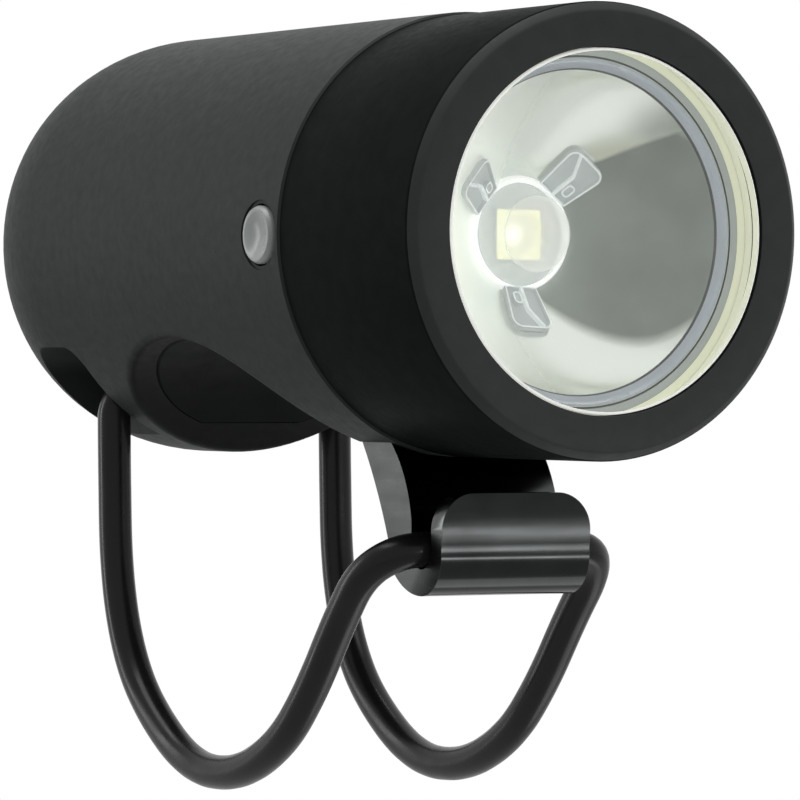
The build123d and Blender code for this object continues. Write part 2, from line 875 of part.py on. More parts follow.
# Switch under the button, bored for its plunger
switch_face_x = driver_out_x - switch_t
with BuildPart() as tact_switch:
    with BuildSketch(side.offset(driver_out_x)):
        with Locations(button_spot):
            Rectangle(switch_w, switch_w)
    extrude(amount=-switch_t)
    with BuildSketch(side.offset(switch_face_x)):
        with Locations(button_spot):
            Circle(plunger_r + face_gap)
    extrude(amount=plunger_in + button_travel + slip_gap, mode=Mode.SUBTRACT)

tact_switch.part.label = "tact_switch"
export_step(tact_switch.part, "parts/tact_switch.step")

with BuildPart() as switch_plunger:
    with BuildSketch(side.offset(switch_face_x + plunger_in)):
        with Locations(button_spot):
            Circle(plunger_r)
    extrude(amount=-plunger_in - plunger_out)

switch_plunger.part.label = "switch_plunger"
export_step(switch_plunger.part, "parts/switch_plunger.step")

# Button with a low crown outside, a flange behind the wall and a nib on the plunger
button_edge_x = -sqrt(body_r**2 - button_r**2) + face_gap
crown_sphere_r = (button_r**2 + button_crown**2) / (2 * button_crown)
crown_mid_rise = button_crown - crown_sphere_r + sqrt(crown_sphere_r**2 - button_r**2 / 4)
nib_x = switch_face_x - plunger_out
flange_back_x = button_flange_x + button_flange_t
button_axis = Axis(axial.from_local_coords((0, button_depth, button_height)), (1, 0, 0))
with BuildPart() as mode_button:
    with BuildSketch(level(button_height)):
        with BuildLine():
            Polyline(
                (button_edge_x, button_depth + button_r),
                (button_flange_x, button_depth + button_r),
                (button_flange_x, button_depth + button_flange_r),
                (flange_back_x, button_depth + button_flange_r),
                (flange_back_x, button_depth + button_nib_r),
                (nib_x, button_depth + button_nib_r),
                (nib_x, button_depth),
                (button_edge_x - button_crown, button_depth),
            )
            ThreePointArc(
                (button_edge_x - button_crown, button_depth),
                (button_edge_x - crown_mid_rise, button_depth + button_r / 2),
                (button_edge_x, button_depth + button_r),
            )
        make_face()
    revolve(axis=button_axis)

mode_button.part.label = "mode_button"
export_step(mode_button.part, "parts/mode_button.step")

# Seal ring round the button's stem, seated in the wall
with BuildPart() as button_seal:
    with BuildSketch(side.offset(button_flange_x - face_gap)):
        with Locations(button_spot):
            Circle(button_flange_r)
            Circle(button_r + face_gap, mode=Mode.SUBTRACT)
    extrude(amount=-button_seal_t)

button_seal.part.label = "button_seal"
export_step(button_seal.part, "parts/button_seal.step")

# Rear board, which carries the charging socket
with BuildPart() as charge_board:
    with BuildSketch(station(charge_board_depth)):
        with Locations((0, charge_height)):
            Rectangle(2 * charge_board_half_w, 2 * charge_board_half_h)
        with Locations(*charge_screw_spots):
            Circle(charge_screw_r + face_gap, mode=Mode.SUBTRACT)
    extrude(amount=charge_board_t)

charge_board.part.label = "charge_board"
export_step(charge_board.part, "parts/charge_board.step")

with BuildPart() as charge_board_screws:
    with BuildSketch(station(charge_board_depth - charge_screw_head_t)):
        with Locations(*charge_screw_spots):
            Circle(charge_screw_head_r)
    extrude(amount=charge_screw_head_t)
    with BuildSketch(station(charge_board_depth)):
        with Locations(*charge_screw_spots):
            Circle(charge_screw_r)
    extrude(amount=charge_screw_len - fit_gap)

charge_board_screws.part.label = "charge_board_screws"
export_step(charge_board_screws.part, "parts/charge_board_screws.step")

# Socket shell and the tongue inside it
with BuildPart() as charge_port:
    with BuildSketch(station(charge_board_back)):
        with Locations((0, charge_height)):
            SlotOverall(socket_w, socket_h)
    extrude(amount=socket_len)
    with BuildSketch(station(charge_board_back + socket_back_t)):
        with Locations((0, charge_height)):
            SlotOverall(socket_w - 2 * socket_wall, socket_h - 2 * socket_wall)
    extrude(amount=socket_len, mode=Mode.SUBTRACT)

charge_port.part.label = "charge_port"
export_step(charge_port.part, "parts/charge_port.step")

with BuildPart() as port_tongue:
    with BuildSketch(station(charge_board_back + socket_back_t)):
        with Locations((0, charge_height)):
            Rectangle(tongue_w, tongue_t)
    extrude(amount=socket_len - socket_back_t - tongue_inset)

port_tongue.part.label = "port_tongue"
export_step(port_tongue.part, "parts/port_tongue.step")

# Two leads from the driver board, through the notches, to the face of the emitter board
lead_back_depth = driver_front_depth + lead_lap
lead_face_depth = board_depth - face_gap - lead_r
with BuildPart() as led_leads:
    with BuildLine(level(lead_spacing / 2)):
        FilletPolyline(
            (lead_x, lead_back_depth),
            (lead_x, lead_face_depth),
            (lead_x + lead_tail, lead_face_depth),
            radius=lead_bend_r,
        )
    with BuildSketch(station(lead_back_depth)):
        with Locations((-lead_x, lead_spacing / 2)):
            Circle(lead_r)
    sweep()
    mirror(about=level(0))

led_leads.part.label = "led_leads"
export_step(led_leads.part, "parts/led_leads.step")

# Flat strip that joins the rear board to the driver board
flex_x = driver_x + face_gap + flex_t / 2
flex_front_depth = driver_back_depth - flex_lap
flex_back_depth = charge_board_depth - face_gap - flex_t / 2
with BuildPart() as charge_flex:
    with BuildLine(level(flex_height)):
        FilletPolyline(
            (flex_x, flex_front_depth),
            (flex_x, flex_back_depth),
            (flex_x + flex_lap, flex_back_depth),
            radius=flex_bend_r,
        )
    with BuildSketch(station(flex_front_depth)):
        with Locations((-flex_x, flex_height)):
            Rectangle(flex_t, flex_w)
    sweep()

charge_flex.part.label = "charge_flex"
export_step(charge_flex.part, "parts/charge_flex.step")

# Flap over the socket, with a low plug inside, and the tether that it swings on
with BuildPart() as port_cover:
    with BuildSketch(station(body_len - cover_t)):
        with Locations((0, charge_height)):
            SlotOverall(cover_w - 2 * cover_gap, cover_h - 2 * cover_gap)
    extrude(amount=cover_t)
    fillet(port_cover.faces().sort_by(Axis.Y)[-1].edges(), radius=cover_edge)
    with BuildSketch(station(body_len - cover_t)):
        with Locations((0, charge_height)):
            SlotOverall(cover_lip_w, cover_lip_h)
    extrude(amount=-cover_lip_t)

port_cover.part.label = "port_cover"
export_step(port_cover.part, "parts/port_cover.step")

with BuildPart() as cover_tether:
    with BuildSketch(station(body_len - cover_t)):
        with Locations((0, cover_top_height - cover_gap + face_gap)):
            Rectangle(tether_w, tether_h, align=(Align.CENTER, Align.MIN))
    extrude(amount=cover_t)

cover_tether.part.label = "cover_tether"
export_step(cover_tether.part, "parts/cover_tether.step")

# Silicone pad that lines the saddle
with BuildPart() as bar_pad:
    add(pad_slab)

bar_pad.part.label = "bar_pad"
export_step(bar_pad.part, "parts/bar_pad.step")

# Metal hook: root, curved back, floor, trough and barrelled lip
trough_r = strap_r + fit_gap
lip_in = trough_depth - trough_r
lip_out = lip_in - lip_plate_t
lip_top = trough_height + lip_rise
floor_low = trough_height - trough_r - hook_floor_t
with BuildPart() as strap_hook:
    with BuildSketch(side):
        with BuildLine():
            Polyline(
                (trough_depth + hook_root_front, root_low),
                (trough_depth + hook_root_front, root_top),
                (trough_depth + hook_root_back, root_top),
                (trough_depth + hook_root_back, root_low),
            )
            ThreePointArc(
                (trough_depth + hook_root_back, root_low),
                (trough_depth + hook_back_bend_back, trough_height + hook_back_bend_rise),
                (trough_depth + hook_heel_back, trough_height - hook_heel_drop),
            )
            ThreePointArc(
                (trough_depth + hook_heel_back, trough_height - hook_heel_drop),
                (trough_depth + hook_heel_back / 2, floor_low + hook_edge),
                (trough_depth, floor_low),
            )
            ThreePointArc(
                (trough_depth, floor_low),
                (lip_out + trough_r / 2, floor_low + hook_floor_t / 2),
                (lip_out, trough_height),
            )
            ThreePointArc(
                (lip_out, trough_height),
                (lip_out - lip_barrel, trough_height + lip_rise / 2),
                (lip_out, lip_top),
            )
            Polyline((lip_out, lip_top), (lip_in, lip_top), (lip_in, trough_height))
            ThreePointArc(
                (lip_in, trough_height),
                (trough_depth, trough_height - trough_r),
                (trough_depth + trough_r, trough_height),
            )
            Line(
                (trough_depth + trough_r, trough_height),
                (trough_depth + trough_r, trough_height + hook_front_low_rise),
            )
            ThreePointArc(
                (trough_depth + trough_r, trough_height + hook_front_low_rise),
                (trough_depth + hook_front_bend_back, trough_height + hook_front_bend_rise),
                (trough_depth + hook_root_front, root_low),
            )
        make_face()
    extrude(amount=hook_half_w, both=True)
    lip_corners = strap_hook.edges().filter_by(Axis.Y).group_by(Axis.Y)[0]
    fillet(lip_corners, radius=lip_corner_r)
    with BuildSketch(level(root_top)):
        with Locations(*hook_screw_spots):
            Circle(hook_screw_r + face_gap)
    extrude(amount=-hook_screw_len, mode=Mode.SUBTRACT)

strap_hook.part.label = "strap_hook"
export_step(strap_hook.part, "parts/strap_hook.step")

with BuildPart() as hook_screws:
    with BuildSketch(level(well_floor_height)):
        with Locations(*hook_screw_spots):
            Circle(hook_screw_head_r)
    extrude(amount=hook_screw_head_t)
    with BuildSketch(level(well_floor_height)):
        with Locations(*hook_screw_spots):
            Circle(hook_screw_r)
    extrude(amount=-hook_screw_len)

hook_screws.part.label = "hook_screws"
export_step(hook_screws.part, "parts/hook_screws.step")

# Route of the strap's near half, from the middle of its tunnel to the middle of the hook.
# Each point is measured from the handlebar's axis.
tunnel_point = axial.from_local_coords((0, tunnel_depth, tunnel_height))
trough_point = axial.from_local_coords((0, trough_depth, trough_height))
strap_route = [
    tunnel_point,
    tunnel_point - (strap_x, 0, 0),
    (-strap_x, 16.37, 6.88),
    (-strap_x, 16.07, -0.22),
    (-strap_x, 14.37, -5.82),
    (-strap_x, 11.07, -10.02),
    (-strap_x, 4.37, -14.02),
    (-strap_x, -2.63, -14.12),
    (-strap_x, -8.93, -11.52),
    (-strap_x, -13.13, -7.52),
    (-strap_x, -16.83, -2.72),
    (-strap_x, -19.83, 0.58),
    trough_point - (strap_bight_x, 0, 0),
    trough_point,
]


def corner_radii(points):
    """The largest arc that the two runs at each corner leave room for."""
    spots = [Vector(point) for point in points]
    radii = []
    for before, corner, after in zip(spots, spots[1:], spots[2:]):
        run_in = corner - before
        run_out = after - corner
        turn = radians(run_in.get_angle(run_out))
        radii.append(strap_bend_share * min(run_in.length, run_out.length) / tan(turn / 2))
    return radii


strap_radii = corner_radii(strap_route)
with BuildPart() as strap:
    with BuildLine():
        strap_path = FilletPolyline(*strap_route, radius=strap_radii)
    with BuildSketch(side):
        with Locations((tunnel_depth, tunnel_height)):
            Circle(strap_r)
    sweep(path=strap_path)
    mirror(about=Plane.YZ)

strap.part.label = "strap"
export_step(strap.part, "parts/strap.step")

strap_len = 2 * strap_path.length
strap_volume = strap_len * pi * strap_r**2
print("strap radii", [round(radius, 1) for radius in strap_radii])
print("strap length", round(strap_len, 1))
print("section times length", round(strap_volume, 1), "volume", round(strap.part.volume, 1))
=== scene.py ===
import math

import bmesh
import bpy
from mathutils import Matrix, Vector


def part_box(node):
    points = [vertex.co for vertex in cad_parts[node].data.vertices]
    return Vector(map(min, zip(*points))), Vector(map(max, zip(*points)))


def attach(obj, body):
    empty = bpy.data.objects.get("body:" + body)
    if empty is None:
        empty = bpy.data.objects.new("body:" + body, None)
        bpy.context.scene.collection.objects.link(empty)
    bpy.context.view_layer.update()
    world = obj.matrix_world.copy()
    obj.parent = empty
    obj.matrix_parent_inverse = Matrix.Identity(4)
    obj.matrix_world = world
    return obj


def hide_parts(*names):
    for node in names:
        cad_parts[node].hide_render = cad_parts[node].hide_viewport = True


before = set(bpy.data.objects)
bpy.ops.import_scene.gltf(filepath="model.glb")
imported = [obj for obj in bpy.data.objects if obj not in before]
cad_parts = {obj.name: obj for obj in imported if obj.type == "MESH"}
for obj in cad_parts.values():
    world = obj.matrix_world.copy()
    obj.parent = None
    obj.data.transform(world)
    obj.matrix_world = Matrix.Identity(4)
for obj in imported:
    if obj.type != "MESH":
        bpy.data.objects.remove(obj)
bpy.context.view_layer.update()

mm = 0.001

# The lamp's axis and front rim. Depths are counted back from the rim, heights from the axis.
bezel_low, bezel_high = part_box("front_bezel")
lamp_front = Vector((0, bezel_low.y, (bezel_low.z + bezel_high.z) / 2))
lamp_dir = Vector((0, 1, 0))
side_dir = Vector((1, 0, 0))
saddle_r = 16.35

# How the meshes are made
turn_steps = 144
crease_angle = math.radians(32)
flat_angle = math.radians(0.4)
weld = 0.001 * mm
seam_play = 0.02 * mm

# A face looks along the lamp, or sideways, if its normal's share there is over this
along_share = 0.9
side_share = 0.5


def spot(across, depth, height):
    """A point of the lamp: across it, behind the rim and above the axis, in millimetres."""
    return lamp_front + Vector((across, depth, height)) * mm


# The housing meets the bezel here
seam = spot(0, 17.06, 0)


# Camera at the photograph's angle
camera_right = Vector((0.86432, -0.50292, 0.00453))
camera_up = Vector((-0.00036, 0.00838, 0.99996))
camera_back = Vector((-0.50294, -0.86429, 0.00706))
camera_place = Vector((-185.28, -327.41, 14.69)) * mm
camera_data = bpy.data.cameras.new("camera")
camera_data.sensor_width = 36
camera_data.lens = 238.92
camera_data.clip_start = 10 * mm
camera = bpy.data.objects.new("camera", camera_data)
bpy.context.scene.collection.objects.link(camera)
camera_turn = Matrix((camera_right, camera_up, camera_back)).transposed().to_4x4()
camera.matrix_world = Matrix.Translation(camera_place) @ camera_turn
bpy.context.scene.camera = camera


# Materials

# The clouds in a finish's colour and in its gloss are this many times as large as its grain
cloud_size = 12
wear_size = 5
wear_spread = 0.05
polish_scale = 300
polish_spread = 0.015


class Finish:
    """A node material, with short calls for the nodes that it needs."""

    def __init__(self, name, **values):
        self.material = bpy.data.materials.new(name)
        self.material.use_nodes = True
        self.nodes = self.material.node_tree.nodes
        self.links = self.material.node_tree.links
        self.shader = self.nodes["Principled BSDF"]
        self.place = self.nodes.new("ShaderNodeTexCoord").outputs["Object"]
        for socket, value in values.items():
            self.shader.inputs[socket.replace("_", " ")].default_value = value

    def link(self, source, name):
        """Feed the shader's input of this name."""
        self.links.new(source, self.shader.inputs[name])

    def made(self, kind, source=None, entry=0, operation=None, **values):
        """A new node with these input values, fed by source."""
        node = self.nodes.new(kind)
        if operation:
            node.operation = operation
        for name, value in values.items():
            node.inputs[name.replace("_", " ")].default_value = value
        if source is not None:
            self.links.new(source, node.inputs[entry])
        return node

    def noise(self, scale, detail=3.0, stretch=(1, 1, 1)):
        """Cloudy noise on the object's own place, stretched along an axis where asked."""
        place = self.made("ShaderNodeMapping", self.place, Scale=stretch).outputs["Vector"]
        return self.made("ShaderNodeTexNoise", place, Scale=scale, Detail=detail).outputs["Fac"]

    def distance(self, **mapping):
        """How far the object's own place is from the origin, once the mapping has moved it."""
        place = self.made("ShaderNodeMapping", self.place, **mapping).outputs["Vector"]
        return self.made("ShaderNodeVectorMath", place, operation="LENGTH").outputs["Value"]

    def ramp(self, source, low, high, start=0.3, end=0.7):
        """A colour that runs from low to high as source runs from start to end."""
        node = self.made("ShaderNodeValToRGB", source)
        node.color_ramp.elements[0].position = start
        node.color_ramp.elements[1].position = end
        node.color_ramp.elements[0].color = low
        node.color_ramp.elements[1].color = high
        return node.outputs["Color"]

    def span(self, source, low, high, start=0.3, end=0.7):
        """A number that runs from low to high as source runs from start to end."""
        node = self.made("ShaderNodeMapRange", source, From_Min=start, From_Max=end)
        node.inputs["To Min"].default_value = low
        node.inputs["To Max"].default_value = high
        return node.outputs["Result"]

    def bump(self, source, height):
        """Shallow relief of this height, in metres."""
        node = self.made("ShaderNodeBump", source, "Height", Distance=height)
        self.link(node.outputs["Normal"], "Normal")


def grey(value):
    return (value, value, value, 1)


def tint(colour, share):
    """A colour made darker or lighter by a share."""
    return (*(channel * share for channel in colour[:3]), 1)


def textured(name, colour, gloss, grain, relief, spread=0.12, stretch=(1, 1, 1), **values):
    """A finish with fine grain, a slightly cloudy colour and an uneven gloss."""
    made = Finish(name, **values)
    cloud = made.noise(grain / cloud_size, 4.0)
    made.link(made.ramp(cloud, tint(colour, 1 - spread), tint(colour, 1 + spread)), "Base Color")
    wear = made.noise(grain / wear_size, 3.0, stretch)
    made.link(made.span(wear, gloss - wear_spread, gloss + wear_spread), "Roughness")
    made.bump(made.noise(grain, 2.0, stretch), relief * mm)
    return made


def surface(*plan, **values):
    """The material of a textured finish."""
    return textured(*plan, **values).material


def clear(name, colour, bend):
    """A clear moulding with a faint unevenness in its polish."""
    made = Finish(name, Base_Color=colour, IOR=bend, Transmission_Weight=1.0)
    made.link(made.span(made.noise(polish_scale), 0.0, polish_spread), "Roughness")
    return made.material


# Painted shade: the housing's plastic is coloured darker into the saddle, by its distance from
# the handlebar's axis
shade_share, shade_width = 0.2, 0.5
housing = textured(
    "housing_plastic", (0.0185, 0.0212, 0.0203, 1), 0.5, 7000, 0.005, spread=0.05,
    Specular_IOR_Level=0.05,
)
from_bar = housing.distance(Scale=(0, 1, 1))
shade_ends = (saddle_r * mm, (saddle_r + shade_width) * mm)
shade = housing.span(from_bar, shade_share, 1.0, *shade_ends)
plain_colour = housing.shader.inputs["Base Color"].links[0].from_socket
painted_shade_colour = housing.made("ShaderNodeVectorMath", plain_colour, operation="SCALE")
housing.links.new(shade, painted_shade_colour.inputs["Scale"])
housing.link(painted_shade_colour.outputs["Vector"], "Base Color")
housing_finish = housing.material

# The other outer pieces
bezel_side_finish = surface(
    "bezel_side", (0.0068, 0.0082, 0.0078, 1), 0.4, 9000, 0.001, Specular_IOR_Level=0.003
)
# The face is a lighter copy of the side's anodising: painted light from the front
bezel_face_finish = surface(
    "bezel_face", (0.022, 0.024, 0.0234, 1), 0.5, 9000, 0.002, spread=0.08, Specular_IOR_Level=0.1
)
strap_finish = surface("strap_silicone", grey(0.007), 0.26, 2500, 0.0004, Specular_IOR_Level=0.14)
pad_finish = surface(
    "pad_silicone", (0.0036, 0.0044, 0.0041, 1), 0.5, 3000, 0.006, Specular_IOR_Level=0.03
)
hook_finish = surface(
    "hook_steel", (0.0195, 0.0205, 0.0205, 1), 0.17, 5000, 0.0005, stretch=(0.06, 1, 1),
    Metallic=1.0,
)
# The hook's side faces are a lighter copy of its steel: bare cut edges, and partly a painted
# highlight
hook_edge_and_sheen_finish = surface(
    "hook_cut_edge", (0.056, 0.06, 0.059, 1), 0.26, 5000, 0.0005, stretch=(1, 0.2, 1),
    Metallic=1.0,
)
button_finish = surface(
    "button_silicone", (0.2, 0.215, 0.21, 1), 0.3, 3000, 0.001, Specular_IOR_Level=0.3
)

# The light's own pieces. The render casts little light through glass, so most of them glow
# faintly to make up for it.
window_finish = clear("window_clear", (0.985, 0.99, 0.985, 1), 1.3)
# Painted highlight: the clear window's bevel is white and glows
bevel_highlight_finish = surface(
    "window_bevel", (0.95, 0.96, 0.95, 1), 0.3, 3000, 0.0004, spread=0.03, IOR=1.3,
    Transmission_Weight=0.1, Emission_Color=(1.0, 1.0, 0.93, 1), Emission_Strength=0.35,
)
# Painted reflection: the clear side walls are pale cream and glow
wall_reflection_finish = surface(
    "window_wall", (0.82, 0.85, 0.68, 1), 0.3, 3000, 0.0004, spread=0.03,
    Emission_Color=(1.0, 1.0, 0.83, 1), Emission_Strength=0.3,
)
optic_finish = clear("optic_clear", (0.97, 0.98, 0.97, 1), 1.04)
# Painted reflection: the optic's edge is pale grey-blue and glows
edge_finish = surface(
    "optic_edge", (0.62, 0.66, 0.74, 1), 0.35, 3000, 0.0004, spread=0.05, IOR=1.15,
    Transmission_Weight=0.6, Emission_Color=(0.9, 0.95, 1.0, 1), Emission_Strength=0.13,
)
# Painted shadow: a dark line behind the optic's flange and in the cup's groove
shadow_line_finish = surface(
    "optic_line", (0.04, 0.042, 0.042, 1), 0.4, 3000, 0.0004, spread=0.05,
    Emission_Color=(0.95, 1.0, 1.0, 1), Emission_Strength=0.04,
)
haze_finish = surface(
    "optic_haze", (0.86, 0.9, 0.9, 1), 0.3, 900, 0.0004, spread=0.03, Alpha=0.3,
    Emission_Color=(0.93, 1.0, 0.98, 1), Emission_Strength=0.22,
)
lens_finish = surface(
    "lens_haze", (0.86, 0.88, 0.85, 1), 0.2, 900, 0.0004, spread=0.03, Alpha=0.38,
    Emission_Color=(1.0, 1.0, 0.96, 1), Emission_Strength=0.2,
)
ring_finish = surface(
    "optic_ring", (0.93, 0.94, 0.94, 1), 0.3, 900, 0.0004, spread=0.02,
    Emission_Color=(1.0, 1.0, 1.0, 1), Emission_Strength=0.4,
)
# The holder is one pale plastic in lit and shaded copies: its bowl, its rim's inner step and its
# clips are darker with painted shade, and its rim's band and the clips' rims glow with painted
# light
cup_shaded_finish = surface("cup_plastic", (0.56, 0.6, 0.585, 1), 0.45, 2500, 0.0004)
cup_rim_finish = surface(
    "cup_rim", (0.8, 0.83, 0.64, 1), 0.45, 2500, 0.0004, spread=0.03,
    Emission_Color=(1.0, 1.0, 0.8, 1), Emission_Strength=0.36,
)
rim_shade_finish = surface(
    "cup_rim_step", (0.34, 0.37, 0.36, 1), 0.45, 2500, 0.0004, spread=0.05,
    Emission_Color=(0.95, 1.0, 0.97, 1), Emission_Strength=0.19,
)
clip_shaded_finish = surface(
    "clip_plastic", (0.4, 0.43, 0.43, 1), 0.35, 2500, 0.0004, spread=0.04,
    Emission_Color=(0.95, 1.0, 1.0, 1), Emission_Strength=0.16,
)
clip_rim_highlight_finish = surface(
    "clip_rim", (0.6, 0.63, 0.63, 1), 0.3, 2500, 0.0004, spread=0.03,
    Emission_Color=(0.95, 1.0, 1.0, 1), Emission_Strength=0.3,
)
ceramic_finish = surface("emitter_ceramic", grey(0.7), 0.5, 6000, 0.002, spread=0.05)
dome_finish = clear("dome_silicone", (0.99, 0.99, 0.97, 1), 1.015)

# The phosphor glows most at its middle
glow_ends = (0.2 * mm, 0.9 * mm)
glow = Finish("phosphor", Base_Color=(0.86, 0.8, 0.34, 1), Roughness=0.6)
from_middle = glow.distance(Location=-spot(-0.5, 12.3, 0))
glow.link(glow.span(from_middle, 1.5, 0.7, *glow_ends), "Emission Strength")
glow_tint = glow.ramp(from_middle, (1, 1, 0.93, 1), (0.92, 0.86, 0.27, 1), *glow_ends)
glow.link(glow_tint, "Emission Color")
glow.bump(glow.noise(9000), 0.003 * mm)
phosphor_finish = glow.material

# The cone mirrors light that meets it at a slant and lets the rest through to the cup.
# Above a tilted plane it mirrors all light.
plane_dir = Vector((-0.48, 0, 0.88))
plane_reach = spot(4.6, 0, 4.9).dot(plane_dir)
plane_blur = 0.15 * mm
slant_ends = (0.21, 0.26)
cone = Finish(
    "optic_cone", Base_Color=(0.88, 0.9, 0.87, 1), IOR=1.04, Transmission_Weight=1.0,
    Emission_Color=(1.0, 1.0, 0.9, 1),
)
slant = cone.made("ShaderNodeLayerWeight", Blend=0.5).outputs["Facing"]
lean = cone.made("ShaderNodeVectorMath", cone.place, operation="DOT_PRODUCT")
lean.inputs[1].default_value = plane_dir
upper = cone.span(
    lean.outputs["Value"], 0.0, 1.0, plane_reach - plane_blur, plane_reach + plane_blur
)
slanting = cone.span(slant, 0.0, 1.0, *slant_ends)
mirror = cone.made("ShaderNodeMath", slanting, operation="MAXIMUM")
cone.links.new(upper, mirror.inputs[1])
cone.link(mirror.outputs["Value"], "Metallic")
# Its near side is softer, and glows with painted light set by its place across the lamp
soft_ends = (-7 * mm, 1 * mm)
painted_glow_ends = (-9 * mm, -1 * mm)
across = cone.made("ShaderNodeSeparateXYZ", cone.place).outputs["X"]
cone.link(cone.span(across, 0.5, 0.16, *soft_ends), "Roughness")
cone.link(cone.span(across, 0.42, 0.03, *painted_glow_ends), "Emission Strength")
cone_finish = cone.material

# The inner pieces keep their CAD meshes
inner_finishes = {
    "bezel_seal": surface("seal_rubber", grey(0.02), 0.6, 3000, 0.004),
    "battery_cell": surface("cell_wrap", (0.03, 0.18, 0.3, 1), 0.35, 1200, 0.003),
    "battery_tabs": surface("nickel_strip", grey(0.55), 0.3, 4000, 0.001, Metallic=1.0),
    "battery_cradle": surface("black_plastic", grey(0.015), 0.5, 5000, 0.004),
    "cell_foam": surface("foam_black", grey(0.02), 0.95, 1500, 0.03),
    "driver_board": surface("board_green", (0.01, 0.13, 0.05, 1), 0.35, 2500, 0.002),
    "led_board": surface("board_white", grey(0.72), 0.4, 2500, 0.002),
    "thermal_pad": surface("thermal_grey", (0.2, 0.25, 0.3, 1), 0.8, 2500, 0.01),
    "heat_sink": surface("bare_aluminium", grey(0.6), 0.35, 5000, 0.002, Metallic=1.0),
    "controller_chip": surface("chip_black", grey(0.02), 0.5, 6000, 0.002),
    "inductor": surface("ferrite", (0.06, 0.06, 0.065, 1), 0.6, 6000, 0.006),
    "capacitors": surface("capacitor_tan", (0.42, 0.28, 0.15, 1), 0.5, 6000, 0.003),
    "status_led": surface("led_lens", (0.75, 0.8, 0.7, 1), 0.25, 4000, 0.001),
    "button_seal": surface("button_seal", grey(0.03), 0.6, 3000, 0.004),
    "charge_port": surface("socket_metal", grey(0.5), 0.28, 5000, 0.001, Metallic=1.0),
    "led_leads": surface("lead_sleeve", (0.5, 0.03, 0.03, 1), 0.4, 3000, 0.002),
    "charge_flex": surface("flex_amber", (0.45, 0.2, 0.03, 1), 0.3, 3000, 0.001),
    "led_board_screws": surface("screw_steel", grey(0.5), 0.28, 5000, 0.001, Metallic=1.0),
}
same_finish = {
    "charge_board": "driver_board",
    "charge_board_screws": "led_board_screws",
    "hook_screws": "led_board_screws",
    "window_gasket": "bezel_seal",
    "tact_switch": "charge_port",
    "switch_plunger": "battery_cradle",
    "port_tongue": "battery_cradle",
}
for node_name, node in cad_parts.items():
    finish = inner_finishes.get(same_finish.get(node_name, node_name), housing_finish)
    node.data.materials.clear()
    node.data.materials.append(finish)


# Pieces


def place_piece(name, mesh, finishes, body, slot, *nodes):
    """Turn a finished bmesh into a piece that rides on a body and stands for CAD nodes."""
    for face in mesh.faces:
        face.smooth = True
    for edge in mesh.edges:
        edge.smooth = edge.is_manifold and edge.calc_face_angle() < crease_angle
    data = bpy.data.meshes.new(name)
    mesh.to_mesh(data)
    mesh.free()
    for finish in finishes:
        data.materials.append(finish)
    piece = bpy.data.objects.new(name, data)
    bpy.context.scene.collection.objects.link(piece)
    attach(piece, body)
    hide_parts(*nodes)
    return piece


def outline(points, corners):
    """A flat face through these points, with some of its corners rounded off.

    Each of corners is the index of a point, with the size and the segments of its round.
    """
    mesh = bmesh.new()
    verts = [mesh.verts.new(point) for point in points]
    mesh.faces.new(verts)
    for index, (size, segments) in corners.items():
        bmesh.ops.bevel(
            mesh, geom=[verts[index]], offset=size * mm, offset_type="OFFSET", segments=segments,
            profile=0.5, affect="VERTICES", material=-1,
        )
    return mesh


def turned(profile, corners, centre=lamp_front, axis=lamp_dir):
    """A body turned round an axis from its half profile of points."""
    mesh = outline(profile, corners)
    bmesh.ops.delete(mesh, geom=mesh.faces[:], context="FACES_ONLY")
    bmesh.ops.spin(
        mesh, geom=mesh.verts[:] + mesh.edges[:], cent=centre, axis=axis,
        angle=2 * math.pi, steps=turn_steps, use_merge=True,
    )
    bmesh.ops.remove_doubles(mesh, verts=mesh.verts, dist=weld)
    bmesh.ops.recalc_face_normals(mesh, faces=mesh.faces)
    return mesh


def half_profile(*points):
    """Points of a turned body's half profile, from pairs of radius and depth."""
    return [spot(radius, depth, 0) for radius, depth in points]


def placed_faces(mesh):
    """Each face with its middle's radius and depth in the lamp, in millimetres."""
    for face in mesh.faces:
        place = (face.calc_center_median() - lamp_front) / mm
        yield face, math.hypot(place.x, place.z), place.y


def raised(points, corners, height, rim=0.0, sink=0.0, low=0.0):
    """A flat shape with thickness, its top sunk inside a rim where asked."""
    sink_width = 0.08
    mesh = outline([Vector((along, side, low)) * mm for along, side in points], corners)
    drawn = bmesh.ops.extrude_face_region(mesh, geom=mesh.faces[:])
    top = [item for item in drawn["geom"] if isinstance(item, bmesh.types.BMFace)]
    moved = [item for item in drawn["geom"] if isinstance(item, bmesh.types.BMVert)]
    bmesh.ops.translate(mesh, vec=(0, 0, height * mm), verts=moved)
    bmesh.ops.recalc_face_normals(mesh, faces=mesh.faces)
    if rim:
        border = bmesh.ops.inset_region(mesh, faces=top, thickness=rim * mm, depth=0)
        for face in border["faces"]:
            face.material_index = 1
        bmesh.ops.inset_region(mesh, faces=top, thickness=sink_width * mm, depth=-sink * mm)
    return mesh


def slab(centre, size, edge_size):
    """A block with soft edges."""
    mesh = bmesh.new()
    made = bmesh.ops.create_cube(mesh, size=1)
    bmesh.ops.scale(mesh, vec=Vector(size) * mm, verts=made["verts"])
    bmesh.ops.translate(mesh, vec=centre, verts=made["verts"])
    bmesh.ops.bevel(
        mesh, geom=mesh.edges[:], offset=edge_size * mm, offset_type="OFFSET", segments=2,
        profile=0.5, affect="EDGES", material=-1,
    )
    return mesh


def add_part(mesh, part, first_finish):
    """Add a finished part to a mesh, whose finishes from first_finish on are the part's."""
    for face in part.faces:
        face.material_index += first_finish
    data = bpy.data.meshes.new("part")
    part.to_mesh(data)
    part.free()
    mesh.from_mesh(data)
    bpy.data.meshes.remove(data)


def at_seam(edge):
    """True for an edge that lies where the housing meets the bezel."""
    return all(abs(vert.co.y - seam.y) < seam_play for vert in edge.verts)


